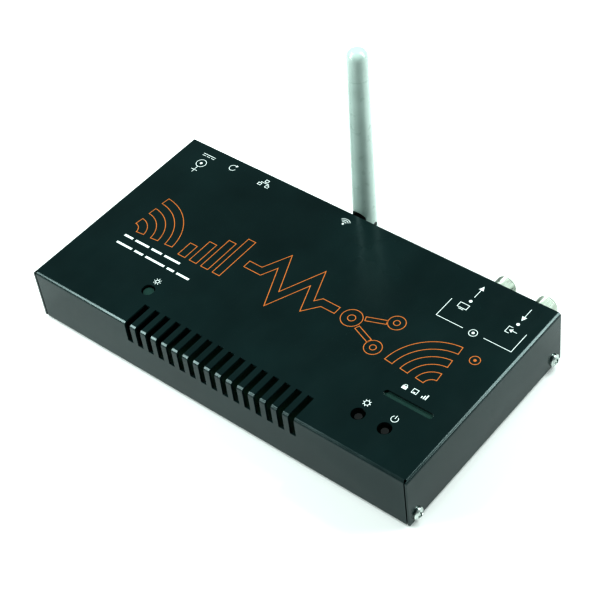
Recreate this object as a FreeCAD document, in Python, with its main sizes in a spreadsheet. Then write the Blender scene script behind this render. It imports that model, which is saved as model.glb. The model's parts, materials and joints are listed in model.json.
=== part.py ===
import FreeCAD, Part
import math
import os
import re

import Sketcher

# Cable modem: a folded steel cover over a steel tray, one circuit board, rear sockets and a hinged antenna.
# The frame's origin is the middle of the case's underside. +X runs along the case to the right, +Y goes to
# the socket side and +Z is up, so the feet reach below the origin. Every length is in millimetres.

doc = FreeCAD.newDocument("cable_modem")

# Driving dimensions, kept in the sheet under these names.
SIZES = {
    # cover and tray, both folded from the same gauge
    "case_length": 200,
    "case_width": 104,
    "case_height": 26.5,
    "gauge": 1,
    "fold_radius": 1.5,
    "cover_gap": 0.5,
    "flange_height": 9,
    "lip_depth": 6,
    "corner_slit": 0.5,
    "corner_relief": 1,
    # air slots that wrap over the front fold
    "slot_count": 16,
    "slot_pitch": 5.87,
    "slot_width": 3,
    "first_slot_x": -43.8,
    "slot_reach": 12.9,
    "slot_drop": 10.5,
    # air slots through the tray's floor
    "floor_slot_count": 14,
    "floor_slot_pitch": 8,
    "floor_slot_length": 26,
    "floor_slot_width": 2.5,
    # round holes and the light window in the cover's top
    "button_hole_radius": 3,
    "button_y": -35.5,
    "config_x": 64.65,
    "standby_x": 77.4,
    "window_x": 77.75,
    "window_y": -20.75,
    "window_length": 23.5,
    "window_width": 3,
    # feet and fasteners
    "foot_height": 1.5,
    "foot_radius": 6,
    "foot_recess": 0.5,
    "foot_margin": 0.3,
    "foot_x": 84,
    "foot_y": 38,
    "screw_y": 47,
    "screw_height": 3.2,
    "screw_radius": 1.5,
    "screw_length": 5,
    "screw_head_radius": 2.8,
    "screw_head_height": 2,
    "screw_clearance": 0.1,
    "recess_depth": 1.2,
    "recess_width": 0.8,
    "fixing_x": 91.5,
    "fixing_y": 17,
    # circuit board
    "board_length": 190,
    "board_width": 95,
    "board_y": 1,
    "board_thickness": 1.6,
    "standoff_height": 5,
    "standoff_radius": 2.6,
    "heatsink_height": 10,
    "heatsink_floor": 2,
    "fin_count": 8,
    "fin_pitch": 3.5,
    "fin_gap": 2,
    "memory_width": 11.2,
    "memory_offset": 29.7,
    "capacitor_radius": 3.5,
    "capacitor_height": 10,
    "capacitor_pitch": 9,
    "capacitor_y": 8,
    "coil_height": 2.5,
    "coil_y": -4,
    # rear sockets
    "port_height": 14,
    "port_clearance": 0.2,
    "power_x": -85,
    "power_width": 9,
    "power_depth": 13.5,
    "power_height": 11,
    "power_snout_radius": 4.2,
    "power_bore_radius": 2.8,
    "power_bore_depth": 9.5,
    "power_pin_radius": 1.05,
    "lan_x": -51.4,
    "lan_width": 15.9,
    "lan_height": 13.3,
    "lan_depth": 21,
    "lan_skin": 0.4,
    "plug_width": 11.8,
    "plug_height": 6.8,
    "plug_depth": 12.5,
    "plug_rise": 3.2,
    "latch_width": 6.2,
    "latch_drop": 1.6,
    "contact_count": 8,
    "contact_pitch": 1.02,
    "contact_side": 0.4,
    "reset_x": -70.6,
    "reset_rise": 3.5,
    "reset_hole_radius": 1.5,
    "coax_out_x": 66.2,
    "coax_in_x": 86.6,
    "coax_radius": 4.76,
    "coax_reach": 12,
    "coax_undercut_radius": 4.3,
    "coax_undercut_length": 1.2,
    "coax_bore_radius": 3.4,
    "coax_contact_radius": 1.1,
    "coax_wire_radius": 0.5,
    "tuner_x": 76.4,
    "tuner_length": 35.5,
    "tuner_depth": 27,
    "tuner_height": 13,
    # push buttons
    "switch_side": 6,
    "switch_height": 3.5,
    "plunger_radius": 1.75,
    "plunger_recess": 1.5,
    "plunger_clearance": 0.05,
    "plunger_seat": 1.2,
    "plunger_room": 0.5,
    "reset_plunger_radius": 1,
    "reset_recess": 0.4,
    # light guides
    "status_x": -50,
    "status_y": -32.1,
    "guide_radius": 2.7,
    "guide_foot_radius": 4,
    "guide_foot": 1,
    "led_height": 1.6,
    "led_pitch": 4.7,
    "bar_margin": 1,
    "bar_depth": 3,
    "post_radius": 1.4,
    "leg_radius": 1.1,
    "led_gap": 0.4,
    "guide_gap": 0.1,
    # antenna
    "antenna_x": -8,
    "bushing_radius": 5.2,
    "bushing_flange": 2.6,
    "shank_radius": 3,
    "shank_reach": 6,
    "antenna_nut_radius": 4.6,
    "antenna_nut_height": 2.7,
    "washer_thickness": 0.7,
    "stem_radius": 2,
    "stem_clearance": 0.05,
    "clip_thickness": 0.7,
    "clip_radius": 3.2,
    "clip_play": 0.1,
    "groove_radius": 1.8,
    "disc_gap": 0.3,
    "disc_thickness": 1.4,
    "disc_radius": 5,
    "hinge_reach": 10,
    "hinge_pin_radius": 1.5,
    "hinge_pin_length": 10,
    "tongue_width": 6.8,
    "tongue_radius": 4.6,
    "fork_slot": 7.4,
    "fork_apex": 8.5,
    "whip_foot_radius": 5.5,
    "whip_cheek_radius": 5.2,
    "whip_top_radius": 4.68,
    "whip_length": 91,
    "cap_length": 13.5,
    "cap_plug": 4,
    "cap_dome": 3.6,
    "whip_bore_radius": 2.6,
    "whip_bore_start": 12,
    "radiator_radius": 2.2,
    "radiator_wall": 0.4,
    "radiator_start": 16,
    "radiator_length": 49.5,
    "whip_lean": 3,
    "cable_radius": 0.7,
    "cable_room": 0.3,
    "cable_start_y": 26,
    "cable_rise_y": 36,
}

# Pieces soldered flat on the board: length, width, height, and the middle's x and y.
BOARD_PIECES = {
    "modem_processor": (27, 27, 2.2, 12, 2),
    "flash_chip": (12, 8, 1.2, -16, -20),
    "clock_crystal": (5, 3.2, 1, -9, 8),
    "wireless_can": (20, 20, 3, -34.8, 10),
    "lan_transformer": (12.7, 9, 5.6, -51.4, 22),
    "antenna_socket": (3, 3, 1.3, -8, 25),
    "power_regulator": (10, 9, 4.5, -66, 22),
    "status_led": (3.2, 2.8, 1.6, -50, -32.1),
}
MEASURES = ("length", "width", "height", "x", "y")
for piece, numbers in BOARD_PIECES.items():
    SIZES.update({f"{piece}_{measure}": number for measure, number in zip(MEASURES, numbers)})

sheet = doc.addObject("Spreadsheet::Sheet", "Sizes")
for row, (alias, number) in enumerate(SIZES.items(), start=1):
    sheet.set(f"A{row}", alias.replace("_", " "))
    sheet.set(f"B{row}", str(number))
    sheet.setAlias(f"B{row}", alias)
doc.recompute()

# Heights and depths that many pieces share, as formulas of the sheet's names.
CASE_TOP = "case_height"
SHEET_UNDER = "(case_height - gauge)"
BOARD_FOOT = "(gauge + standoff_height)"
BOARD_TOP = "(gauge + standoff_height + board_thickness)"
BACK = "(case_width / 2)"
INNER_BACK = "(case_width / 2 - gauge)"
TRAY_HALF = "(case_length / 2 - gauge - cover_gap)"
TRAY_FRONT = "(case_width / 2 - gauge - cover_gap)"
RESET_Z = f"({BOARD_TOP} + reset_rise)"
HINGE_Y = "(case_width / 2 + hinge_reach)"
DISC_Y = "(case_width / 2 + bushing_flange + disc_gap)"

NAMES = re.compile(r"\b(" + "|".join(sorted(SIZES, key=len, reverse=True)) + r")\b")
# How near two places are to count as the same one.
NEAR = 0.01

# Turns that lay a piece, which is made along Z, along another axis.
LAY = {
    "Z": FreeCAD.Rotation(),
    "X": FreeCAD.Rotation(FreeCAD.Vector(0, 1, 0), 90),
    "Y": FreeCAD.Rotation(FreeCAD.Vector(1, 0, 0), -90),
}

nodes = []


def sized(text):
    """The formula with the sheet put before each of its names."""
    return NAMES.sub(r"Sizes.\1", str(text))


def bind(obj, formulas):
    for prop, text in formulas.items():
        obj.setExpression(prop, sized(text))
    return obj


def place(obj, at, axis="Z"):
    """Put the object's own origin at the point, with its own Z along the axis."""
    obj.Placement = FreeCAD.Placement(FreeCAD.Vector(), LAY[axis])
    return bind(obj, {f"Placement.Base.{letter}": text for letter, text in zip("xyz", at)})


def node(name, obj):
    """Make the object the finished sub-part of that name."""
    obj.Label = name
    nodes.append(obj)
    return obj


def block(name, length, width, height, low):
    """Box with its lowest corner at the point low."""
    obj = doc.addObject("Part::Box", name)
    bind(obj, {"Length": length, "Width": width, "Height": height})
    return place(obj, low)


def slab(name, length, width, height, middle_x, middle_y, foot):
    """Box centred on middle_x and middle_y that stands on the height foot."""
    low = (f"{middle_x} - {length} / 2", f"{middle_y} - {width} / 2", foot)
    return block(name, length, width, height, low)


def rod(name, radius, length, start, axis="Z"):
    obj = doc.addObject("Part::Cylinder", name)
    bind(obj, {"Radius": radius, "Height": length})
    return place(obj, start, axis)


def taper(name, start_radius, end_radius, length, start, axis="Z"):
    obj = doc.addObject("Part::Cone", name)
    bind(obj, {"Radius1": start_radius, "Radius2": end_radius, "Height": length})
    return place(obj, start, axis)


def fuse(name, *pieces):
    obj = doc.addObject("Part::MultiFuse", name)
    obj.Shapes = list(pieces)
    obj.Refine = True
    return obj


def cut(name, base, *tools):
    obj = doc.addObject("Part::Cut", name)
    obj.Base = base
    obj.Tool = tools[0] if len(tools) == 1 else fuse(f"{name}_tools", *tools)
    return obj


def common(name, first, second):
    obj = doc.addObject("Part::MultiCommon", name)
    obj.Shapes = [first, second]
    return obj


def group(name, *solids):
    obj = doc.addObject("Part::Compound", name)
    obj.Links = list(solids)
    return obj


def mirrored(name, source, normal):
    obj = doc.addObject("Part::Mirroring", name)
    obj.Source = source
    obj.Normal = normal
    return obj


def four_corners(name, solid):
    """The solid and its mirror images across the case's two middle planes."""
    across = mirrored(f"{name}_across", solid, (1, 0, 0))
    behind = mirrored(f"{name}_behind", solid, (0, 1, 0))
    opposite = mirrored(f"{name}_opposite", across, (0, 1, 0))
    return node(name, group(name, solid, across, behind, opposite))


# Sketches and features of the PartDesign bodies


def body_of(name):
    body = doc.addObject("PartDesign::Body", name)
    return node(name, body)


def plane_of(body, role):
    return next(item for item in body.Origin.OriginFeatures if item.Role == role)


def sketch_on(body, name, role, offset):
    """Empty sketch on one of the body's origin planes, moved by the offset in the plane's own axes."""
    sketch = body.newObject("Sketcher::SketchObject", name)
    sketch.AttachmentSupport = (plane_of(body, role), [""])
    sketch.MapMode = "FlatFace"
    return bind(sketch, {f"AttachmentOffset.Base.{letter}": text for letter, text in zip("xyz", offset)})


def hold(sketch, kind, name, text, *ends):
    """Dimension of that kind, named and bound to a formula."""
    start_size = 1.0
    index = sketch.addConstraint(Sketcher.Constraint(kind, *ends, start_size))
    sketch.renameConstraint(index, name)
    bind(sketch, {f"Constraints.{name}": text})


def rectangle(sketch, width, height):
    """Rectangle centred on the sketch's origin."""
    corners = [FreeCAD.Vector(x, y, 0) for x, y in ((-2, -1), (2, -1), (2, 1), (-2, 1))]
    for side in range(4):
        sketch.addGeometry(Part.LineSegment(corners[side], corners[(side + 1) % 4]), False)
    for side in range(4):
        sketch.addConstraint(Sketcher.Constraint("Coincident", side, 2, (side + 1) % 4, 1))
        sketch.addConstraint(Sketcher.Constraint("Vertical" if side % 2 else "Horizontal", side))
    sketch.addConstraint(Sketcher.Constraint("Symmetric", 0, 1, 1, 2, -1, 1))
    hold(sketch, "DistanceX", "width", width, 0, 1, 0, 2)
    hold(sketch, "DistanceY", "height", height, 1, 1, 1, 2)


def circle(sketch, radius):
    """Circle round the sketch's origin."""
    sketch.addGeometry(Part.Circle(FreeCAD.Vector(), FreeCAD.Vector(0, 0, 1), 2), False)
    sketch.addConstraint(Sketcher.Constraint("Coincident", 0, 3, -1, 1))
    hold(sketch, "Radius", "radius", radius, 0)


def pad(body, sketch, name, length, middle=False):
    feature = body.newObject("PartDesign::Pad", name)
    feature.Profile = sketch
    feature.Midplane = middle
    return bind(feature, {"Length": length})


def pocket(body, sketch, name, length, middle=False):
    """Pocket down from its sketch, or both ways where middle is set. It has to take something away."""
    doc.recompute()
    volume = body.Shape.Volume
    feature = body.newObject("PartDesign::Pocket", name)
    feature.Profile = sketch
    feature.Midplane = middle
    bind(feature, {"Length": length})
    doc.recompute()
    if body.Shape.Volume >= volume:
        raise RuntimeError(f"{name} takes nothing away from {body.Label}")
    return feature


def window(body, name, role, offset, width, height, length, middle=False):
    sketch = sketch_on(body, f"{name}_sketch", role, offset)
    rectangle(sketch, width, height)
    return pocket(body, sketch, name, length, middle)


def hole(body, name, role, offset, radius, length, middle=False):
    sketch = sketch_on(body, f"{name}_sketch", role, offset)
    circle(sketch, radius)
    return pocket(body, sketch, name, length, middle)


def row_of(body, name, feature, pitch, count):
    """Repeat the feature along X and make the row the body's tip."""
    pattern = body.newObject("PartDesign::LinearPattern", name)
    pattern.Originals = [feature]
    pattern.Direction = (next(item for item in body.Origin.OriginFeatures if item.Role == "X_Axis"), [""])
    bind(pattern, {"Length": f"{pitch} * ({count} - 1)", "Occurrences": count})
    body.Tip = pattern
    doc.recompute()
    return pattern


def edges_of(shape, wanted):
    return [f"Edge{number}" for number, edge in enumerate(shape.Edges, start=1) if wanted(edge.BoundBox)]


def faces_of(shape, wanted):
    return [f"Face{number}" for number, face in enumerate(shape.Faces, start=1) if wanted(face.BoundBox)]


def folded_box(body, length, width, height, middle_y, is_fold, is_open):
    """Box of sheet metal: a block with its folds rounded, hollowed to the gauge, open at the chosen faces."""
    sketch = sketch_on(body, f"{body.Name}_outline", "XY_Plane", ("0", middle_y, "0"))
    rectangle(sketch, length, width)
    solid = pad(body, sketch, f"{body.Name}_block", height)
    doc.recompute()
    folds = body.newObject("PartDesign::Fillet", f"{body.Name}_folds")
    folds.Base = (solid, edges_of(solid.Shape, is_fold))
    bind(folds, {"Radius": "fold_radius"})
    doc.recompute()
    hollow = body.newObject("PartDesign::Thickness", f"{body.Name}_hollow")
    hollow.Base = (folds, faces_of(folds.Shape, is_open))
    hollow.Reversed = True
    bind(hollow, {"Value": "gauge"})
    doc.recompute()


def make_cover():
    """Top, front and two side walls from one sheet, open at the back, with slits at the front corners."""
    body = body_of("top_cover")
    half_length = SIZES["case_length"] / 2
    half_width = SIZES["case_width"] / 2

    def is_fold(box):
        level = box.ZMin > SIZES["case_height"] - NEAR
        side = abs(abs(box.Center.x) - half_length) < NEAR
        front = abs(box.Center.y + half_width) < NEAR
        return level and (side or front)

    def is_open(box):
        return box.ZMax < NEAR or box.YMin > half_width - NEAR

    folded_box(body, "case_length", "case_width", "case_height", "0", is_fold, is_open)
    slot = window(
        body, "air_slot", "YZ_Plane",
        ("-case_width / 2 + slot_reach / 2", f"{CASE_TOP} - slot_drop / 2", "first_slot_x"),
        "slot_reach + 0.001", "slot_drop + 0.001", "slot_width", True,
    )
    row_of(body, "air_slots", slot, "slot_pitch", "slot_count")
    for name, x, y in (("config", "config_x", "button_y"), ("standby", "standby_x", "button_y"),
                       ("status", "status_x", "status_y")):
        hole(body, f"{name}_hole", "XY_Plane", (x, y, CASE_TOP), "button_hole_radius", "gauge * 2")
    window(body, "light_window", "XY_Plane", ("window_x", "window_y", CASE_TOP),
           "window_length - window_width", "window_width", "gauge * 2")
    for name, side in (("left", "-"), ("right", "+")):
        end = f"window_x {side} (window_length - window_width) / 2"
        hole(body, f"window_{name}_end", "XY_Plane", (end, "window_y", CASE_TOP), "window_width / 2",
             "gauge * 2")
        slit_x = f"{side}(case_length / 2 - gauge - corner_slit / 2)"
        window(body, f"{name}_slit", "XY_Plane", (slit_x, "-case_width / 2 + gauge / 2", CASE_TOP),
               "corner_slit", "gauge * 2", "case_height * 2", True)
        hole(body, f"{name}_relief", "XY_Plane", (slit_x, "-case_width / 2 + gauge", CASE_TOP),
             "corner_relief / 2", "gauge * 2")
    for name, y in (("front", "-screw_y"), ("rear", "screw_y")):
        hole(body, f"{name}_screw_holes", "YZ_Plane", (y, "screw_height", "0"),
             "screw_radius + screw_clearance", "case_length * 2", True)


FOOT_SEATS = [(f"{across}_{along}", x, y) for across, x in (("left", "-foot_x"), ("right", "foot_x"))
              for along, y in (("front", "-foot_y"), ("rear", "foot_y"))]


def make_tray():
    """Floor, rear wall with the socket openings, a lip under the cover, and low flanges for the screws."""
    body = body_of("base_tray")
    width = f"(case_width / 2 + {TRAY_FRONT})"
    middle_y = "((gauge + cover_gap) / 2)"

    def is_fold(box):
        return box.ZMax < NEAR

    def is_open(box):
        return box.ZMin > SIZES["case_height"] - SIZES["gauge"] - NEAR

    folded_box(body, f"{TRAY_HALF} * 2", width, SHEET_UNDER, middle_y, is_fold, is_open)
    trim_height = "(case_height - gauge - flange_height)"
    window(body, "flange_trim", "XY_Plane", ("0", f"{INNER_BACK} - case_width", SHEET_UNDER),
           "case_length * 2", "case_width * 2", trim_height)
    lip = sketch_on(body, "lip_sketch", "XY_Plane",
                    ("0", f"{INNER_BACK} - lip_depth / 2 + gauge / 2", f"{SHEET_UNDER} - gauge"))
    rectangle(lip, f"{TRAY_HALF} * 2", "lip_depth + gauge")
    pad(body, lip, "lip", "gauge")
    lan_z = f"{BOARD_TOP} + lan_height / 2"
    window(body, "lan_opening", "XZ_Plane", ("lan_x", lan_z, f"-{BACK}"),
           "lan_width + port_clearance * 2", "lan_height + port_clearance * 2", "gauge * 4", True)
    for name, x, z, radius in (
        ("power", "power_x", "port_height", "power_snout_radius + port_clearance"),
        ("reset", "reset_x", RESET_Z, "reset_hole_radius"),
        ("antenna", "antenna_x", "port_height", "shank_radius + port_clearance"),
        ("coax_out", "coax_out_x", "port_height", "coax_radius + port_clearance"),
        ("coax_in", "coax_in_x", "port_height", "coax_radius + port_clearance"),
    ):
        hole(body, f"{name}_opening", "XZ_Plane", (x, z, f"-{BACK}"), radius, "gauge * 4", True)
    for name, y in (("front", "-screw_y"), ("rear", "screw_y")):
        hole(body, f"{name}_threads", "YZ_Plane", (y, "screw_height", "0"), "screw_radius",
             "case_length * 2", True)
    first = "-floor_slot_pitch * (floor_slot_count - 1) / 2"
    for name, x, y in FOOT_SEATS:
        rim = sketch_on(body, f"{name}_foot_rim", "XY_Plane", (x, y, "gauge"))
        circle(rim, "foot_radius + gauge")
        pad(body, rim, f"{name}_foot_boss", "foot_recess")
        hole(body, f"{name}_foot_seat", "XY_Plane", (x, y, "foot_recess"), "foot_radius + foot_margin",
             "gauge")
    slot = window(body, "floor_slot", "XY_Plane", (first, "0", "gauge"),
                  "floor_slot_width", "floor_slot_length", "gauge * 2")
    row_of(body, "floor_slots", slot, "floor_slot_pitch", "floor_slot_count")


def make_fasteners():
    """Screws through the side walls, feet, and the posts and screws that carry the board."""
    head_x = "case_length / 2"
    head = rod("screw_head_blank", "screw_head_radius", "screw_head_height",
               (head_x, "screw_y", "screw_height"), "X")
    dome = doc.addObject("Part::Sphere", "screw_head_dome")
    bind(dome, {"Radius": "screw_head_radius * 1.35"})
    dome_x = "case_length / 2 + screw_head_height - screw_head_radius * 1.35"
    place(dome, (dome_x, "screw_y", "screw_height"))
    shank = rod("screw_shank", "screw_radius", "screw_length",
                ("case_length / 2 - screw_length", "screw_y", "screw_height"), "X")
    solid = fuse("screw_solid", common("screw_head", head, dome), shank)
    recess_x = "case_length / 2 + screw_head_height - recess_depth"
    arm = "screw_head_radius * 1.1"
    upright = block("recess_upright", "recess_depth * 2", "recess_width", arm,
                    (recess_x, "screw_y - recess_width / 2", f"screw_height - {arm} / 2"))
    level = block("recess_level", "recess_depth * 2", arm, "recess_width",
                  (recess_x, f"screw_y - {arm} / 2", f"screw_height - recess_width / 2"))
    four_corners("cover_screws", cut("cover_screw", solid, upright, level))
    four_corners("rubber_feet", rod("rubber_foot", "foot_radius", "foot_height + foot_recess",
                                    ("foot_x", "foot_y", "-foot_height")))
    at = ("fixing_x", "fixing_y")
    post = rod("standoff_post", "standoff_radius", "standoff_height", (*at, "gauge"))
    bore = rod("standoff_bore", "screw_radius", "standoff_height", (*at, "gauge"))
    four_corners("board_standoffs", cut("board_standoff", post, bore))
    pan = rod("board_screw_head", "standoff_radius", "screw_head_height", (*at, BOARD_TOP))
    thread = rod("board_screw_shank", "screw_radius - screw_clearance", "screw_length + screw_clearance",
                 (*at, f"{BOARD_TOP} - screw_length"))
    notch = slab("board_screw_notch", "screw_head_radius", "recess_width", "recess_depth", *at,
                 f"{BOARD_TOP} + screw_head_height - recess_depth / 2")
    four_corners("board_screws", cut("board_screw", fuse("board_screw_solid", pan, thread), notch))


def make_board():
    body = body_of("main_board")
    sketch = sketch_on(body, "board_outline", "XY_Plane", ("0", "board_y", BOARD_FOOT))
    rectangle(sketch, "board_length", "board_width")
    pad(body, sketch, "board_plate", "board_thickness")
    for name, x, y in (("rear_right", "", ""), ("front_right", "", "-"), ("rear_left", "-", ""),
                       ("front_left", "-", "-")):
        hole(body, f"{name}_fixing", "XY_Plane", (f"{x}fixing_x", f"{y}fixing_y", BOARD_TOP),
             "screw_radius", "board_thickness * 2")
    for name in BOARD_PIECES:
        measures = [f"{name}_{measure}" for measure in MEASURES]
        node(name, slab(name, *measures, BOARD_TOP))
    memory = [slab(f"memory_chip_{side}", "flash_chip_length", "memory_width", "flash_chip_height",
                   f"(modem_processor_x {sign} memory_offset)", "modem_processor_y", BOARD_TOP)
              for side, sign in (("left", "-"), ("right", "+"))]
    node("memory_chips", group("memory_chips", *memory))
    cans = [rod(f"capacitor_{number}", "capacitor_radius", "capacitor_height",
                (f"power_x + capacitor_pitch * {number}", "capacitor_y", BOARD_TOP)) for number in range(4)]
    node("filter_capacitors", group("filter_capacitors", *cans))
    coils = [slab(f"coil_{number}", "switch_side", "switch_side", "coil_height",
                  f"(power_x + capacitor_pitch * {number})", "coil_y", BOARD_TOP) for number in range(3)]
    node("power_coils", group("power_coils", *coils))


def make_heatsink():
    """Finned block glued on the processor, with its fins along Y."""
    body = body_of("processor_heatsink")
    foot = f"{BOARD_TOP} + modem_processor_height"
    sketch = sketch_on(body, "heatsink_outline", "XY_Plane", ("modem_processor_x", "modem_processor_y", foot))
    rectangle(sketch, "modem_processor_length", "modem_processor_width")
    pad(body, sketch, "heatsink_block", "heatsink_height")
    first = "modem_processor_x - fin_pitch * (fin_count - 2) / 2"
    gap = window(body, "fin_gap_pocket", "XY_Plane",
                 (first, "modem_processor_y", f"{foot} + heatsink_height"),
                 "fin_gap", "modem_processor_width * 2", "heatsink_height - heatsink_floor")
    row_of(body, "fin_gaps", gap, "fin_pitch", "(fin_count - 1)")


def make_power_socket():
    """Barrel socket: a housing on the board with a snout through the rear wall and a centre pin."""
    housing = slab("power_housing", "power_width", "power_depth", "power_height", "power_x",
                   f"({INNER_BACK} - power_depth / 2)", BOARD_TOP)
    snout = rod("power_snout", "power_snout_radius", "gauge * 3",
                ("power_x", f"{INNER_BACK} - gauge * 2", "port_height"), "Y")
    bore = rod("power_bore", "power_bore_radius", "power_bore_depth + gauge",
               ("power_x", f"{BACK} - power_bore_depth", "port_height"), "Y")
    node("power_socket", cut("power_socket", fuse("power_solid", housing, snout), bore))
    pin_foot = f"{BACK} - power_bore_depth"
    node("power_pin", rod("power_pin", "power_pin_radius", "power_bore_depth - gauge",
                          ("power_x", pin_foot, "port_height"), "Y"))


def make_lan_socket():
    """Eight-way network socket: a metal shell, a moulded insert with the plug's cavity, and contacts."""
    middle_y = f"({BACK} - lan_depth / 2)"
    outer = slab("lan_outer", "lan_width", "lan_depth", "lan_height", "lan_x", middle_y, BOARD_TOP)
    inner_width = "(lan_width - lan_skin * 2)"
    inner_height = "(lan_height - lan_skin)"
    inner_depth = "(lan_depth - lan_skin)"
    inner_y = f"({BACK} - {inner_depth} / 2)"
    mould = slab("lan_mould", inner_width, inner_depth, inner_height, "lan_x", inner_y, BOARD_TOP)
    room = slab("lan_room", inner_width, f"({inner_depth} + gauge)", f"({inner_height} + gauge)", "lan_x",
                f"({BACK} + gauge - ({inner_depth} + gauge) / 2)", f"{BOARD_TOP} - gauge")
    node("lan_shell", cut("lan_shell", outer, room))
    cavity_y = f"({BACK} + gauge - (plug_depth + gauge) / 2)"
    cavity = slab("lan_cavity", "plug_width", "(plug_depth + gauge)", "plug_height", "lan_x", cavity_y,
                  f"{BOARD_TOP} + plug_rise")
    latch = slab("lan_latch_way", "latch_width", "(plug_depth + gauge)", "(latch_drop + gauge)", "lan_x",
                 cavity_y, f"{BOARD_TOP} + plug_rise - latch_drop")
    node("lan_insert", cut("lan_insert", mould, cavity, latch))
    wire_foot = f"{BOARD_TOP} + plug_rise + plug_height - contact_side"
    wires = []
    for number in range(SIZES["contact_count"]):
        x = f"(lan_x + contact_pitch * ({number} - (contact_count - 1) / 2))"
        wires.append(slab(f"lan_wire_{number}", "contact_side", "plug_depth * 0.7", "contact_side", x,
                          f"({BACK} - plug_depth * 0.6)", wire_foot))
    node("lan_contacts", group("lan_contacts", *wires))


def make_coax(name, x):
    """Threaded coaxial barrel fixed to the tuner can, with its insulator and spring contact."""
    length = "(coax_reach + gauge)"

    def along(part, radius, extent, start=INNER_BACK):
        return rod(f"{name}_{part}", radius, extent, (x, start, "port_height"), "Y")

    thread = along("thread", "coax_radius", f"({length} - coax_undercut_length)",
                   f"{INNER_BACK} + coax_undercut_length")
    blank = fuse(f"{name}_blank", along("undercut", "coax_undercut_radius", length), thread)
    node(f"{name}_barrel", cut(f"{name}_barrel", blank, along("bore", "coax_bore_radius", length)))
    plug = along("plug", "coax_bore_radius", f"({length} - gauge)")
    core = along("core", "coax_contact_radius", f"({length} - gauge)")
    node(f"{name}_insulator", cut(f"{name}_insulator", plug, core))
    tube = along("tube", "coax_contact_radius", f"({length} - gauge * 2)")
    mouth = along("mouth", "coax_wire_radius", f"({length} - gauge * 3)", f"{BACK} + gauge")
    node(f"{name}_contact", cut(f"{name}_contact", tube, mouth))


def make_tuner():
    """Shielding can of the tuner, open at its foot."""
    middle_y = f"({INNER_BACK} - tuner_depth / 2)"
    outer = slab("tuner_outer", "tuner_length", "tuner_depth", "tuner_height", "tuner_x", middle_y, BOARD_TOP)
    room = slab("tuner_room", "(tuner_length - gauge)", "(tuner_depth - gauge)", "tuner_height", "tuner_x",
                middle_y, f"{BOARD_TOP} - gauge / 2")
    node("tuner_can", cut("tuner_can", outer, room))


def make_button(name, x):
    """Tall push switch under a hole in the cover."""
    housing = slab(f"{name}_housing", "switch_side", "switch_side", "switch_height", x, "button_y", BOARD_TOP)
    seat = rod(f"{name}_seat", "plunger_radius + plunger_clearance", "switch_height",
               (x, "button_y", f"{BOARD_TOP} + switch_height - plunger_seat - plunger_room"))
    node(f"{name}_switch", cut(f"{name}_switch", housing, seat))
    foot = f"({BOARD_TOP} + switch_height - plunger_seat)"
    node(f"{name}_plunger", rod(f"{name}_plunger", "plunger_radius", f"{CASE_TOP} - plunger_recess - {foot}",
                                (x, "button_y", foot)))


def make_reset():
    """Side-facing push switch behind a small hole in the rear wall."""
    face = f"({INNER_BACK} - gauge)"
    housing = slab("reset_housing", "switch_side", "switch_side", "switch_side", "reset_x",
                   f"({face} - switch_side / 2)", BOARD_TOP)
    seat = rod("reset_seat", "reset_plunger_radius + plunger_clearance", "switch_side",
               ("reset_x", f"{face} - plunger_seat - plunger_room", RESET_Z), "Y")
    node("reset_switch", cut("reset_switch", housing, seat))
    foot = f"({face} - plunger_seat)"
    node("reset_plunger", rod("reset_plunger", "reset_plunger_radius", f"{BACK} - reset_recess - {foot}",
                              ("reset_x", foot, RESET_Z), "Y"))


def make_lights():
    """Light-emitting diodes on the board and the clear guides that carry their light up to the cover."""
    foot = f"({BOARD_TOP} + led_height + led_gap)"
    stem = rod("status_stem", "guide_radius", f"{SHEET_UNDER} - guide_gap - {foot}",
               ("status_x", "status_y", foot))
    collar = rod("status_collar", "guide_foot_radius", "guide_foot", ("status_x", "status_y", foot))
    node("status_guide", fuse("status_guide", stem, collar))
    lamps = [slab(f"indicator_led_{number}", "led_height * 2", "led_height * 2", "led_height",
                  f"(window_x + led_pitch * {number - 1})", "window_y", BOARD_TOP) for number in range(3)]
    node("indicator_leds", group("indicator_leds", *lamps))
    bar_foot = f"({SHEET_UNDER} - guide_gap - bar_depth)"
    pieces = [slab("indicator_bar", "window_length", "(window_width + bar_margin * 2)", "bar_depth",
                   "window_x", "window_y", bar_foot)]
    for side, sign in (("left", "-"), ("right", "+")):
        pieces.append(rod(f"bar_{side}_end", "window_width / 2 + bar_margin", "bar_depth",
                          (f"window_x {sign} window_length / 2", "window_y", bar_foot)))
    for number in range(3):
        pieces.append(rod(f"bar_post_{number}", "post_radius", f"{bar_foot} + bar_depth / 2 - {foot}",
                          (f"window_x + led_pitch * {number - 1}", "window_y", foot)))
    for side, sign in (("left", "-"), ("right", "+")):
        pieces.append(rod(f"bar_{side}_leg", "leg_radius", f"{bar_foot} + bar_depth / 2 - {BOARD_TOP}",
                          (f"window_x {sign} window_length / 2", "window_y", BOARD_TOP)))
    node("indicator_guide", fuse("indicator_guide", *pieces))


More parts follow.
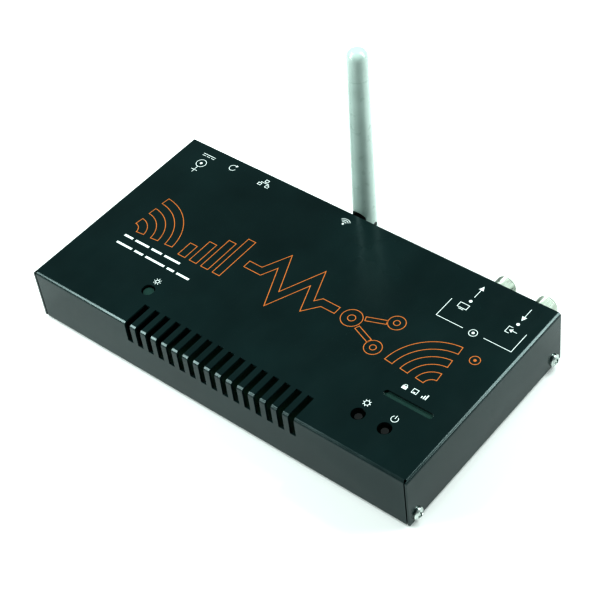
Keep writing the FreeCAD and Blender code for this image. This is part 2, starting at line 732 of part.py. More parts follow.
def make_antenna_mount():
    """Bushing clamped in the rear wall, and the swivelling knuckle that is clipped into it."""
    axis = ("antenna_x", "port_height")

    def turned(name, radius, length, start):
        return rod(name, radius, length, (axis[0], start, axis[1]), "Y")

    flange = turned("bushing_flange_disc", "bushing_radius", "bushing_flange", BACK)
    shank_start = f"({INNER_BACK} - shank_reach)"
    shank = turned("bushing_shank", "shank_radius", "shank_reach + gauge * 1.5", shank_start)
    bore = turned("bushing_bore", "stem_radius + stem_clearance", "case_width", f"{shank_start} - gauge")
    node("antenna_bushing", cut("antenna_bushing", fuse("bushing_solid", flange, shank), bore))
    washer_y = f"({INNER_BACK} - washer_thickness)"
    node("antenna_washer", cut(
        "antenna_washer",
        turned("washer_blank", "antenna_nut_radius", "washer_thickness", washer_y),
        turned("washer_bore", "shank_radius", "washer_thickness * 3", f"{washer_y} - washer_thickness"),
    ))
    prism = doc.addObject("Part::Prism", "antenna_nut_blank")
    prism.Polygon = 6
    bind(prism, {"Circumradius": "antenna_nut_radius", "Height": "antenna_nut_height"})
    nut_y = f"({washer_y} - antenna_nut_height)"
    place(prism, (axis[0], nut_y, axis[1]), "Y")
    node("antenna_nut", cut("antenna_nut", prism,
                            turned("nut_bore", "shank_radius", "antenna_nut_height * 2", f"{nut_y} - gauge")))
    clip_y = f"({shank_start} - clip_thickness - clip_play)"
    stem_start = f"({clip_y} - clip_thickness)"
    stem = turned("knuckle_stem", "stem_radius", f"{DISC_Y} - {stem_start} + gauge / 2", stem_start)
    disc = turned("knuckle_disc", "disc_radius", "disc_thickness", DISC_Y)
    neck = slab("knuckle_neck", "tongue_width", f"({HINGE_Y} - {DISC_Y})", "(tongue_radius * 2)", "antenna_x",
                f"(({HINGE_Y} + {DISC_Y}) / 2)", "port_height - tongue_radius")
    tip = rod("knuckle_tip", "tongue_radius", "tongue_width",
              ("antenna_x - tongue_width / 2", HINGE_Y, "port_height"), "X")
    eye = rod("knuckle_eye", "hinge_pin_radius", "case_width",
              ("antenna_x - case_width / 2", HINGE_Y, "port_height"), "X")
    groove = cut("knuckle_groove",
                 turned("groove_outside", "stem_radius * 2", "clip_thickness + clip_play",
                        f"{clip_y} - clip_play / 2"),
                 turned("groove_inside", "groove_radius", "case_width", f"{clip_y} - case_width / 2"))
    wire_way = turned("knuckle_wire_way", "cable_radius + cable_room",
                      f"{DISC_Y} + disc_thickness - {stem_start} + gauge", f"{stem_start} - gauge")
    node("antenna_knuckle", cut("antenna_knuckle", fuse("knuckle_solid", stem, disc, neck, tip),
                                eye, groove, wire_way))
    node("antenna_clip", cut(
        "antenna_clip",
        turned("clip_blank", "clip_radius", "clip_thickness", clip_y),
        turned("clip_bore", "groove_radius + clip_play / 2", "case_width", f"{clip_y} - case_width / 2"),
        block("clip_mouth", "groove_radius * 1.4", "case_width", "clip_radius * 2",
              ("antenna_x - groove_radius * 0.7", f"{clip_y} - case_width / 2", "port_height")),
    ))
    node("hinge_pin", rod("hinge_pin", "hinge_pin_radius", "hinge_pin_length",
                          ("antenna_x - hinge_pin_length / 2", HINGE_Y, "port_height"), "X"))


def lean(obj):
    """Stand the object, which is made about the hinge pin, on the pin with the antenna's lean."""
    turn = FreeCAD.Rotation(FreeCAD.Vector(-1, 0, 0), SIZES["whip_lean"])
    obj.Placement = FreeCAD.Placement(FreeCAD.Vector(), turn)
    return bind(obj, {"Placement.Base.x": "antenna_x", "Placement.Base.y": HINGE_Y,
                      "Placement.Base.z": "port_height", "Placement.Rotation.Angle": "whip_lean"})


def make_whip():
    """Forked sleeve, cap and radiator of the antenna, all made with the hinge pin at the origin."""
    sleeve_length = "(whip_length - cap_length)"
    sleeve = taper("whip_sleeve", "whip_foot_radius", "whip_top_radius", sleeve_length, ("0", "0", "0"))
    foot = common("whip_foot",
                  rod("foot_round", "whip_foot_radius", "whip_foot_radius", ("0", "0", "-whip_foot_radius")),
                  rod("foot_cheeks", "whip_cheek_radius", "case_width", ("-case_width / 2", "0", "0"), "X"))
    arch_top = "(fork_apex - fork_slot / 2)"
    slot = block("fork_gap", "fork_slot", "case_width", f"{arch_top} + case_width",
                 ("-fork_slot / 2", "-case_width / 2", "-case_width"))
    arch = rod("fork_arch", "fork_slot / 2", "case_width", ("0", "-case_width / 2", arch_top), "Y")
    eye = rod("fork_eye", "hinge_pin_radius + stem_clearance", "case_width",
              ("-case_width / 2", "0", "0"), "X")
    bore = rod("whip_bore", "whip_bore_radius", "whip_length", ("0", "0", "whip_bore_start"))
    wire_way = rod("whip_wire_way", "cable_radius + cable_room", "whip_length", ("0", "0", "fork_apex / 2"))
    solid = fuse("whip_solid", sleeve, foot)
    node("antenna_whip", lean(cut("antenna_whip", solid, slot, arch, eye, bore, wire_way)))
    skirt = rod("cap_skirt", "whip_top_radius", "cap_length", ("0", "0", sleeve_length))
    doc.recompute()
    dome = doc.addObject("Part::Fillet", "cap_dome_edge")
    dome.Base = skirt
    rim = edges_of(skirt.Shape, lambda box: box.ZMin > SIZES["whip_length"] - NEAR)
    dome.Edges = [(int(rim[0][4:]), SIZES["cap_dome"], SIZES["cap_dome"])]
    plug = rod("cap_plug_rod", "whip_bore_radius", "cap_plug + 1", ("0", "0", f"{sleeve_length} - cap_plug"))
    node("antenna_cap", lean(fuse("antenna_cap", dome, plug)))
    tube = rod("radiator_tube", "radiator_radius", "radiator_length", ("0", "0", "radiator_start"))
    tube_bore = rod("radiator_bore", "radiator_radius - radiator_wall", "radiator_length",
                    ("0", "0", "radiator_start + radiator_wall"))
    node("antenna_radiator", lean(cut("antenna_radiator", tube, tube_bore)))


def make_pigtail():
    """Thin coaxial cable from its board plug to the antenna's stem: two straight runs joined by one arc."""
    low_z = (SIZES["gauge"] + SIZES["standoff_height"] + SIZES["board_thickness"]
             + SIZES["antenna_socket_height"] + SIZES["cable_radius"])
    high_z = SIZES["port_height"]
    end_y = SIZES["case_width"] / 2 + SIZES["bushing_flange"] + SIZES["disc_gap"]
    start = FreeCAD.Vector(SIZES["antenna_x"], SIZES["cable_start_y"], low_z)
    corner = FreeCAD.Vector(SIZES["antenna_x"], SIZES["cable_rise_y"], high_z)
    end = FreeCAD.Vector(SIZES["antenna_x"], end_y, high_z)
    rising = (corner - start).normalize()
    level = (end - corner).normalize()
    half_turn = rising.getAngle(level) / 2
    run = 0.45 * min((corner - start).Length, (end - corner).Length)
    radius = run / math.tan(half_turn)
    middle = corner + (level - rising).normalize() * radius * (1 / math.cos(half_turn) - 1)
    arc_start = corner - rising * run
    arc_end = corner + level * run
    spine = Part.Wire([
        Part.LineSegment(start, arc_start).toShape(),
        Part.Arc(arc_start, middle, arc_end).toShape(),
        Part.LineSegment(arc_end, end).toShape(),
    ])
    profile = Part.Wire([Part.Circle(start, rising, SIZES["cable_radius"]).toShape()])
    cable = doc.addObject("Part::Feature", "antenna_pigtail")
    cable.Shape = spine.makePipeShell([profile], True, True)
    cable.Placement = FreeCAD.Placement()
    node("antenna_pigtail", cable)


def check_and_write():
    """Write each sub-part to its own file once every object of the document is sound."""
    doc.recompute()
    for obj in doc.Objects:
        if "Invalid" in obj.State or "Error" in obj.State:
            raise RuntimeError(f"{obj.Label} failed: {obj.State}")
    for obj in nodes:
        if obj.Shape.isNull() or not obj.Shape.isValid() or not obj.Shape.Solids:
            raise RuntimeError(f"{obj.Label} has no sound shape")
    os.makedirs("parts", exist_ok=True)
    for obj in nodes:
        obj.Shape.exportStep(f"parts/{obj.Label}.step")


make_cover()
make_tray()
make_fasteners()
make_board()
make_heatsink()
make_power_socket()
make_lan_socket()
make_tuner()
make_coax("coax_out", "coax_out_x")
make_coax("coax_in", "coax_in_x")
make_button("config", "config_x")
make_button("standby", "standby_x")
make_reset()
make_lights()
make_antenna_mount()
make_whip()
make_pigtail()
check_and_write()
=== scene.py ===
import json
import math

import bmesh
import bpy
from mathutils import Matrix, Vector


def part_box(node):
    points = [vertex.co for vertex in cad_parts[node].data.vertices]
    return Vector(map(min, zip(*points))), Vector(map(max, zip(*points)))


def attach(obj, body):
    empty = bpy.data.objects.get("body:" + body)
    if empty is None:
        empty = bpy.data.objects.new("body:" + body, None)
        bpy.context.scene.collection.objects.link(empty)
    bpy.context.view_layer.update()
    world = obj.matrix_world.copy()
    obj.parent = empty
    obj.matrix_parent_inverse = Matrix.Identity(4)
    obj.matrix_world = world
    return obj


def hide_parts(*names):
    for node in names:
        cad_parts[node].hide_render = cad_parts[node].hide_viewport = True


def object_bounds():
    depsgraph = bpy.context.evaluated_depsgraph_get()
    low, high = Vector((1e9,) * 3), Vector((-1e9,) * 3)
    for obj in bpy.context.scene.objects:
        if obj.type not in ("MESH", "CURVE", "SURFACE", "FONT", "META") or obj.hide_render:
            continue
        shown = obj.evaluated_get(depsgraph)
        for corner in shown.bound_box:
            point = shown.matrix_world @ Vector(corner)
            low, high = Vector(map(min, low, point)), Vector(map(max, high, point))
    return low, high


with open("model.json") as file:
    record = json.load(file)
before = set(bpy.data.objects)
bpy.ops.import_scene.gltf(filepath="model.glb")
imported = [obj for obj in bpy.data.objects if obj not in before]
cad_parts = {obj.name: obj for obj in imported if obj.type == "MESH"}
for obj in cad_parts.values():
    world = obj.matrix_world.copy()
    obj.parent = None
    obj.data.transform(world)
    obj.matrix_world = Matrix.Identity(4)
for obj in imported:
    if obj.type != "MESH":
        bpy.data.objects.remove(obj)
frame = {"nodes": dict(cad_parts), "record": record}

MM = 0.001
cad_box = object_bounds()

SLOT_OF = {part["node"]: part["material_slot"] for part in frame["record"]["subparts"]}
BODY_OF = {node: body for body, nodes in frame["record"]["behaviour"]["bodies"].items() for node in nodes}

CASE_LOW, CASE_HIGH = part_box("top_cover")
TOP = CASE_HIGH.z / MM
BACK = CASE_HIGH.y / MM
LEFT = CASE_LOW.x / MM
RIGHT = CASE_HIGH.x / MM


def middle(node):
    """Middle of the node's box, in millimetres."""
    low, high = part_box(node)
    return (low + high) / 2 / MM


# ---------------------------------------------------------------- materials


class Surface:
    """Principled material whose textures follow the object's own coordinates."""

    def __init__(self, name, colour, roughness, **sockets):
        self.material = bpy.data.materials.new(name)
        self.material.use_nodes = True
        self.tree = self.material.node_tree
        self.shader = self.tree.nodes["Principled BSDF"]
        self.shader.inputs["Base Color"].default_value = (*colour, 1)
        self.shader.inputs["Roughness"].default_value = roughness
        for socket, value in sockets.items():
            self.shader.inputs[socket.replace("_", " ")].default_value = value
        self.place = self.tree.nodes.new("ShaderNodeTexCoord").outputs["Object"]
        self.normal = None

    def texture(self, kind, scale, stretch):
        spread = self.tree.nodes.new("ShaderNodeMapping")
        spread.inputs["Scale"].default_value = stretch
        self.tree.links.new(self.place, spread.inputs["Vector"])
        node = self.tree.nodes.new(kind)
        node.inputs["Scale"].default_value = scale
        self.tree.links.new(spread.outputs["Vector"], node.inputs["Vector"])
        return node

    def noise(self, scale, stretch=(1, 1, 1)):
        node = self.texture("ShaderNodeTexNoise", scale, stretch)
        node.inputs["Detail"].default_value = 3
        return node.outputs["Fac"]

    def cells(self, scale, stretch=(1, 1, 1)):
        return self.texture("ShaderNodeTexVoronoi", scale, stretch).outputs["Distance"]

    def spread(self, value, low, high, start=0.3, end=0.7):
        """The value's range from start to end, spread over low to high."""
        node = self.tree.nodes.new("ShaderNodeMapRange")
        for socket, number in (("From Min", start), ("From Max", end), ("To Min", low), ("To Max", high)):
            node.inputs[socket].default_value = number
        self.tree.links.new(value, node.inputs["Value"])
        return node.outputs["Result"]

    def vary_roughness(self, value, low, high):
        self.tree.links.new(self.spread(value, low, high), self.shader.inputs["Roughness"])
        return self

    def vary_colour(self, value, first, second, start=0.3, end=0.7):
        mix = self.tree.nodes.new("ShaderNodeMix")
        mix.data_type = "RGBA"
        mix.inputs["A"].default_value = (*first, 1)
        mix.inputs["B"].default_value = (*second, 1)
        self.tree.links.new(self.spread(value, 0, 1, start, end), mix.inputs["Factor"])
        self.tree.links.new(mix.outputs["Result"], self.shader.inputs["Base Color"])
        return self

    def raise_by(self, value, distance, strength):
        """Bump of that height in metres, on top of the bumps made before."""
        node = self.tree.nodes.new("ShaderNodeBump")
        node.inputs["Distance"].default_value = distance
        node.inputs["Strength"].default_value = strength
        self.tree.links.new(value, node.inputs["Height"])
        if self.normal:
            self.tree.links.new(self.normal, node.inputs["Normal"])
        self.normal = node.outputs["Normal"]
        self.tree.links.new(self.normal, self.shader.inputs["Normal"])
        return self


def black_steel():
    """Powder coat: orange-peel skin, a few duller rubbed patches and a faint cast of teal."""
    coat = Surface("black_steel", (0.005, 0.015, 0.015), 0.25, Specular_IOR_Level=0.36,
                   Specular_Tint=(0.85, 1.0, 1.0, 1))
    coat.vary_colour(coat.noise(35), (0.004, 0.013, 0.013), (0.006, 0.018, 0.018))
    coat.vary_roughness(coat.noise(120, (1, 0.35, 1)), 0.17, 0.25)
    coat.raise_by(coat.noise(1500), 0.000006, 0.5)
    return coat.raise_by(coat.cells(900), 0.000004, 0.35).material


def plated(name, colour, roughness, brushed):
    """Plated metal with a brushed grain, cloudy patches and fine pits."""
    metal = Surface(name, colour, roughness, Metallic=1.0)
    duller = tuple(part * 0.8 for part in colour)
    metal.vary_colour(metal.noise(160), colour, duller)
    metal.vary_roughness(metal.noise(900, brushed), roughness * 0.75, roughness * 1.35)
    metal.raise_by(metal.noise(2600, brushed), 0.00001, 0.4)
    return metal.material


def moulded(name, colour, roughness, grain=1400, depth=0.00002, **sockets):
    """Moulded plastic with a fine spark-eroded grain and slightly uneven gloss."""
    plastic = Surface(name, colour, roughness, **sockets)
    darker = tuple(part * 0.86 for part in colour)
    plastic.vary_colour(plastic.noise(90), colour, darker)
    plastic.vary_roughness(plastic.noise(260), roughness * 0.85, roughness * 1.2)
    plastic.raise_by(plastic.noise(grain), depth, 0.4)
    return plastic.material


def circuit_board():
    """Solder mask over copper: tracks that run both ways show as faint raised lines."""
    board = Surface("circuit_board", (0.006, 0.022, 0.013), 0.3)
    board.vary_colour(board.cells(420, (1, 0.2, 1)), (0.004, 0.013, 0.008), (0.009, 0.034, 0.02), 0.1, 0.5)
    board.raise_by(board.cells(420, (1, 0.2, 1)), 0.00003, 0.6)
    board.raise_by(board.cells(380, (0.2, 1, 1)), 0.00002, 0.6)
    return board.vary_roughness(board.noise(200), 0.22, 0.4).material


def clear_plastic():
    """Smoked plastic that lets a little light through, slightly frosted."""
    lens = Surface("clear_plastic", (0.02, 0.06, 0.05), 0.25, Transmission_Weight=0.25, IOR=1.49)
    lens.vary_roughness(lens.noise(300), 0.18, 0.36)
    return lens.raise_by(lens.noise(1800), 0.00001, 0.4).material


def ink(name, colour):
    """Screen-printed ink with a slightly patchy cover."""
    print_ink = Surface(name, colour, 0.45, Specular_IOR_Level=0.3)
    print_ink.vary_colour(print_ink.noise(700), colour, tuple(part * 0.72 for part in colour), 0.35, 0.8)
    return print_ink.raise_by(print_ink.noise(2500), 0.00001, 0.4).material


MATERIALS = {
    "black_steel": black_steel(),
    "zinc_steel": plated("zinc_steel", (0.62, 0.68, 0.65), 0.28, (1, 1, 0.2)),
    "dark_steel": plated("dark_steel", (0.08, 0.09, 0.09), 0.35, (0.2, 1, 1)),
    "black_rubber": moulded("black_rubber", (0.02, 0.02, 0.02), 0.75, 900, 0.00004),
    "brass": plated("brass", (0.70, 0.52, 0.22), 0.3, (1, 1, 0.15)),
    "circuit_board": circuit_board(),
    "chip_black": moulded("chip_black", (0.018, 0.018, 0.02), 0.55, 2200),
    "tin_plate": plated("tin_plate", (0.62, 0.64, 0.62), 0.32, (0.2, 1, 1)),
    "nickel": plated("nickel", (0.74, 0.80, 0.72), 0.34, (1, 0.2, 1)),
    "gold": plated("gold", (0.83, 0.60, 0.22), 0.2, (1, 0.2, 1)),
    "capacitor_sleeve": moulded("capacitor_sleeve", (0.02, 0.03, 0.06), 0.3, 1200),
    "ferrite": moulded("ferrite", (0.05, 0.05, 0.055), 0.6, 1800, 0.00004),
    "black_aluminium": plated("black_aluminium", (0.03, 0.03, 0.03), 0.45, (1, 0.1, 1)),
    "black_plastic": moulded("black_plastic", (0.006, 0.007, 0.007), 0.5, Specular_IOR_Level=0.3),
    "white_plastic": moulded("white_plastic", (0.80, 0.82, 0.78), 0.45),
    "clear_plastic": clear_plastic(),
    "antenna_white": moulded("antenna_white", (0.44, 0.54, 0.50), 0.3, 1100, Coat_Weight=0.3),
    "cable_black": moulded("cable_black", (0.015, 0.015, 0.015), 0.45),
}
WHITE_INK = ink("white_ink", (0.78, 0.84, 0.82))
ORANGE_INK = ink("orange_ink", (0.50, 0.16, 0.035))


# ---------------------------------------------------------------- pieces


def finish_piece(piece, body, material):
    """Link the piece, colour it and let it ride on the body."""
    bpy.context.collection.objects.link(piece)
    piece.data.materials.clear()
    piece.data.materials.append(material)
    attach(piece, body)


def stand_for(piece, node):
    """Show the piece in the CAD node's place, on its body and in its finish."""
    finish_piece(piece, BODY_OF[node], MATERIALS[SLOT_OF[node]])
    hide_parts(node)


def round_edges(piece, width):
    """Small rounding on the hard edges, with the flat faces kept flat in the shading."""
    edge = piece.modifiers.new("edge_rounding", "BEVEL")
    edge.width = width
    edge.segments = 2
    edge.limit_method = "ANGLE"
    edge.angle_limit = math.radians(38)
    edge.harden_normals = True
    edge.miter_outer = "MITER_ARC"
    piece.data.shade_smooth()


def rounded_copy(node, width):
    """The CAD node's shape again, with its hard edges rounded as folding or moulding leaves them."""
    mesh = bmesh.new()
    mesh.from_mesh(frame["nodes"][node].data)
    bmesh.ops.remove_doubles(mesh, verts=mesh.verts, dist=0.001 * MM)
    bmesh.ops.dissolve_limit(mesh, angle_limit=math.radians(0.5), verts=mesh.verts, edges=mesh.edges)
    data = bpy.data.meshes.new(f"{node}_shape")
    mesh.to_mesh(data)
    mesh.free()
    if "custom_normal" in data.attributes:
        data.attributes.remove(data.attributes["custom_normal"])
    piece = bpy.data.objects.new(f"{node}_look", data)
    stand_for(piece, node)
    round_edges(piece, width)


# How far each node's hard edges are rounded, in millimetres. The rest get the common rounding.
COMMON_ROUNDING = 0.08
ROUNDINGS = {
    "top_cover": 0.25, "base_tray": 0.12, "antenna_whip": 0.2, "antenna_cap": 0.15, "antenna_bushing": 0.3,
    "antenna_knuckle": 0.25, "processor_heatsink": 0.15, "power_socket": 0.25, "hinge_pin": 0.25,
    "lan_insert": 0.15, "cover_screws": 0.1, "config_plunger": 0.3, "standby_plunger": 0.3,
    "reset_plunger": 0.2, "power_pin": 0.4, "indicator_guide": 0.3, "status_guide": 0.4,
}


def skin_rings(mesh, rings):
    """Skin over closed rings of vertices that follow each other round an axis."""
    for step, ring in enumerate(rings):
        following = rings[(step + 1) % len(rings)]
        for place in range(len(ring)):
            after = (place + 1) % len(ring)
            mesh.faces.new((ring[place], following[place], following[after], ring[after]))


def object_from(mesh, name):
    """Object of that name from the mesh, with doubled points merged and the faces turned outwards."""
    bmesh.ops.remove_doubles(mesh, verts=mesh.verts, dist=0.0001 * MM)
    bmesh.ops.recalc_face_normals(mesh, faces=mesh.faces)
    data = bpy.data.meshes.new(name)
    mesh.to_mesh(data)
    mesh.free()
    return bpy.data.objects.new(name, data)


def smooth_look(mesh, node):
    """Show the mesh for the node, smooth but with its corners kept sharp."""
    piece = object_from(mesh, f"{node}_look")
    stand_for(piece, node)
    piece.data.shade_smooth()
    piece.data.set_sharp_from_angle(angle=math.radians(35))


# Coaxial barrel, in millimetres.
THREAD_PITCH = 25.4 / 32
THREAD_DEPTH = 0.42
THREAD_STEEPNESS = 1.35
PLAIN_LENGTH = 2.2
CHAMFER_LENGTH = 0.7
CHAMFER_DEPTH = 0.75
THREAD_CHAMFER = 0.15
BORE_CHAMFER = 0.25
STEPS_PER_TURN = 72
ROWS_PER_PITCH = 8


def barrel_profile(start, end, radius, bore, turned):
    """Closed (radius, along) outline at that share of a turn. The thread moves along with the turn."""
    root = radius - THREAD_DEPTH
    thread_start = start + PLAIN_LENGTH
    thread_end = end - CHAMFER_LENGTH
    rows = round((thread_end - thread_start) / THREAD_PITCH * ROWS_PER_PITCH)
    profile = [(root, start), (root, thread_start)]
    for row in range(1, rows):
        advance = (thread_end - thread_start) * row / rows
        crest = 1 - abs(2 * ((advance / THREAD_PITCH - turned) % 1) - 1)
        profile.append((root + THREAD_DEPTH * min(1, crest * THREAD_STEEPNESS), thread_start + advance))
    profile += [(radius - THREAD_CHAMFER, thread_end), (radius - CHAMFER_DEPTH, end)]
    return profile + [(bore + BORE_CHAMFER, end), (bore, end - BORE_CHAMFER), (bore, start)]


def threaded_barrel(node, insulator):
    """Coaxial barrel: a plain root, a helical thread, a chamfered mouth and the insulator's bore."""
    low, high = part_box(node)
    axis_x, _, axis_z = middle(node)
    radius = (high.x - low.x) / 2 / MM
    insulator_low, insulator_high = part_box(insulator)
    bore = (insulator_high.x - insulator_low.x) / 2 / MM
    mesh = bmesh.new()
    rings = []
    for step in range(STEPS_PER_TURN):
        turned = step / STEPS_PER_TURN
        across, up = math.cos(2 * math.pi * turned), math.sin(2 * math.pi * turned)
        profile = barrel_profile(low.y / MM, high.y / MM, radius, bore, turned)
        rings.append([mesh.verts.new(Vector((axis_x + reach * across, along, axis_z + reach * up)) * MM)
                      for reach, along in profile])
    skin_rings(mesh, rings)
    smooth_look(mesh, node)


FOOT_RADIUS = 6
FOOT_STEPS = 48


def foot_profile(foot, seat):
    """Closed (radius, height) outline of a foot: a shallow dish, a domed rim and a straight side."""
    dish = [(0.01, foot + 0.4), (3.2, foot + 0.4), (3.6, foot + 0.05)]
    rim = [(4.0, foot), (5.0, foot), (5.5, foot + 0.2), (5.8, foot + 0.7)]
    return dish + rim + [(FOOT_RADIUS, foot + 1.2), (FOOT_RADIUS, seat), (0.01, seat)]


def rubber_feet():
    """Four bumpers, one in each corner of the feet's box."""
    low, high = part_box("rubber_feet")
    profile = foot_profile(low.z / MM, high.z / MM)
    mesh = bmesh.new()
    for x in (high.x / MM - FOOT_RADIUS, low.x / MM + FOOT_RADIUS):
        for y in (high.y / MM - FOOT_RADIUS, low.y / MM + FOOT_RADIUS):
            rings = []
            for step in range(FOOT_STEPS):
                angle = 2 * math.pi * step / FOOT_STEPS
                across, along = math.cos(angle), math.sin(angle)
                rings.append([mesh.verts.new(Vector((x + radius * across, y + radius * along, height)) * MM)
                              for radius, height in profile])
            skin_rings(mesh, rings)
    smooth_look(mesh, "rubber_feet")


# ---------------------------------------------------------------- printed marks

INK_HEIGHT = 0.03
WHITE_LINE = 0.28
ORANGE_LINE = 0.38
OUTLINE_WIDTH = 4.0


def offset_pair(points, width, closed):
    """Points to the left and to the right of a path, mitred at its corners."""
    left, right = [], []
    count = len(points)
    for place, point in enumerate(points):
        before = points[place - 1] if closed or place else None
        after = points[(place + 1) % count] if closed or place < count - 1 else None
        arriving = (point - before).normalized() if before else (after - point).normalized()
        leaving = (after - point).normalized() if after else arriving
        across = Vector((-(arriving + leaving).y, (arriving + leaving).x)).normalized()
        flat = Vector((-arriving.y, arriving.x))
        reach = width / 2 / max(across.dot(flat), 0.35)
        left.append(point + across * reach)
        right.append(point - across * reach)
    return left, right


class Print:
    """Thin raised ink on the cover's top. Marks are drawn in millimetres on X and Y."""

    def __init__(self, name, material, line):
        self.name, self.material, self.line = name, material, line
        self.mesh = bmesh.new()

    def vertex(self, point, height):
        return self.mesh.verts.new(Vector((point.x, point.y, TOP + height)) * MM)

    def fill(self, points):
        upper = [self.vertex(Vector(point), INK_HEIGHT) for point in points]
        lower = [self.vertex(Vector(point), -INK_HEIGHT) for point in points]
        self.mesh.faces.new(upper)
        self.mesh.faces.new(lower[::-1])
        for place in range(len(points)):
            after = (place + 1) % len(points)
            self.mesh.faces.new((upper[place], lower[place], lower[after], upper[after]))

    def stroke(self, points, closed=False, width=None):
        points = [Vector(point) for point in points]
        sides = offset_pair(points, width or self.line, closed)
        rings = []
        for left, right in zip(*sides):
            rings.append([self.vertex(left, INK_HEIGHT), self.vertex(right, INK_HEIGHT),
                          self.vertex(right, -INK_HEIGHT), self.vertex(left, -INK_HEIGHT)])
        spans = len(rings) if closed else len(rings) - 1
        for place in range(spans):
            ring, following = rings[place], rings[(place + 1) % len(rings)]
            for corner in range(4):
                after = (corner + 1) % 4
                self.mesh.faces.new((ring[corner], ring[after], following[after], following[corner]))
        if not closed:
            self.mesh.faces.new(rings[0])
            self.mesh.faces.new(rings[-1][::-1])

    def outline(self, points, closed=False, width=OUTLINE_WIDTH):
        """Both edges of a broad stroke, drawn as thin lines."""
        left, right = offset_pair([Vector(point) for point in points], width, closed)
        if closed:
            self.stroke(left, True)
            self.stroke(right, True)
        else:
            self.stroke(left + right[::-1], True)

    def finish(self):
        finish_piece(object_from(self.mesh, self.name), "case", self.material)


def arc_points(centre, radius, start, end, steps):
    """Points along an arc, from the start angle to the end angle in degrees."""
    angles = [math.radians(start + (end - start) * step / steps) for step in range(steps + 1)]
    return [(centre[0] + radius * math.cos(angle), centre[1] + radius * math.sin(angle)) for angle in angles]


def ring_points(centre, radius):
    return arc_points(centre, radius, 0, 360, 28)[:-1]


def box_points(centre, width, height):
    x, y = centre
    return [(x - width / 2, y - height / 2), (x + width / 2, y - height / 2),
            (x + width / 2, y + height / 2), (x - width / 2, y + height / 2)]


ARROW_HALF_WIDTH = 1.15
ARROW_HEAD = 2.4


def arrow(mark, x, start, end):
    """Line along Y from start, with a filled head at its end."""
    way = math.copysign(1, end - start)
    neck = end - way * ARROW_HEAD
    mark.stroke([(x, start), (x, neck)])
    mark.fill([(x - ARROW_HALF_WIDTH * way, neck), (x + ARROW_HALF_WIDTH * way, neck), (x, end)])


def rays(mark, x, y, inner, outer):
    """Eight short lines round a centre."""
    for ray in range(8):
        angle = math.pi * ray / 4
        way = Vector((math.cos(angle), math.sin(angle)))
        mark.stroke([Vector((x, y)) + way * inner, Vector((x, y)) + way * outer])


def radio_waves(mark, x, y, size):
    mark.fill(ring_points((x, y), size * 0.16))
    for share in (0.42, 0.72, 1.0):
        mark.stroke(arc_points((x, y), size * share, 40, 140, 14))


def standby_sign(mark, x, y, size):
    mark.stroke(arc_points((x, y), size, 125, 415, 24))
    mark.stroke([(x, y + size * 0.1), (x, y + size * 1.25)])


def cog_sign(mark, x, y, size):
    mark.stroke(ring_points((x, y), size * 0.62), True)
    rays(mark, x, y, size * 0.7, size)


def direct_current_sign(mark, x, y, size):
    mark.stroke([(x - size, y + 0.55), (x + size, y + 0.55)])
    for step in (-1, 0, 1):
        middle_x = x + step * size * 0.72
        mark.stroke([(middle_x - size * 0.26, y - 0.55), (middle_x + size * 0.26, y - 0.55)])


def polarity_sign(mark, x, y, size, tail):
    mark.stroke(ring_points((x, y), size), True)
    mark.fill(ring_points((x, y), size * 0.28))
    mark.stroke([(x, y - size), (x, y - size - tail)])
    mark.stroke([(x - size * 0.7, y - size - tail * 0.6), (x + size * 0.7, y - size - tail * 0.6)])


def turn_back_sign(mark, x, y, size):
    mark.stroke(arc_points((x, y), size, 60, 350, 24))
    tip = (x + size * math.cos(math.radians(60)), y + size * math.sin(math.radians(60)))
    mark.fill([(tip[0] + 1.0, tip[1] + 0.5), (tip[0] - 0.3, tip[1] + 0.8), (tip[0] + 0.1, tip[1] - 0.6)])


def network_sign(mark, x, y, size):
    boxes = [(x, y + size * 0.7), (x - size, y - size * 0.7), (x + size, y - size * 0.7)]
    for centre in boxes:
        mark.stroke(box_points(centre, size * 0.8, size * 0.6), True)
    mark.stroke([(x, y + size * 0.4), (x, y)])
    mark.stroke([(x - size, y - size * 0.4), (x - size, y), (x + size, y), (x + size, y - size * 0.4)])


def screen_sign(mark, x, y, size):
    mark.stroke(box_points((x, y + size * 0.15), size * 2.2, size * 1.3), True)
    mark.stroke([(x - size * 0.6, y - size * 0.85), (x + size * 0.6, y - size * 0.85)])


def line_in_sign(mark, x, y, size):
    mark.stroke([(x - size * 0.2, y + size), (x - size * 1.3, y + size), (x - size * 1.3, y - size),
                 (x - size * 0.2, y - size)])
    mark.stroke([(x + size * 1.5, y), (x, y)])
    mark.fill([(x + size * 0.2, y + size * 0.6), (x - size * 0.7, y), (x + size * 0.2, y - size * 0.6)])


def coax_sign(mark, x, y, size):
    mark.stroke(ring_points((x, y), size), True)
    mark.fill(ring_points((x, y), size * 0.35))


def lamp_sign(mark, x, y, size):
    mark.stroke(ring_points((x, y), size * 0.45), True)
    rays(mark, x, y, size * 0.65, size)


def lock_sign(mark, x, y, size):
    mark.fill(box_points((x, y - size * 0.4), size * 1.5, size * 1.1))
    mark.stroke(arc_points((x, y + size * 0.15), size * 0.5, 0, 180, 10))


def plug_sign(mark, x, y, size):
    mark.stroke(box_points((x, y), size * 1.5, size * 1.5), True)
    mark.fill(box_points((x, y - size * 0.5), size * 0.6, size * 0.5))


def level_sign(mark, x, y, size):
    for step in range(3):
        height = size * (0.7 + 0.55 * step)
        centre = (x + (step - 1) * size * 0.62, y - size * 0.9 + height / 2)
        mark.fill(box_points(centre, size * 0.34, height))


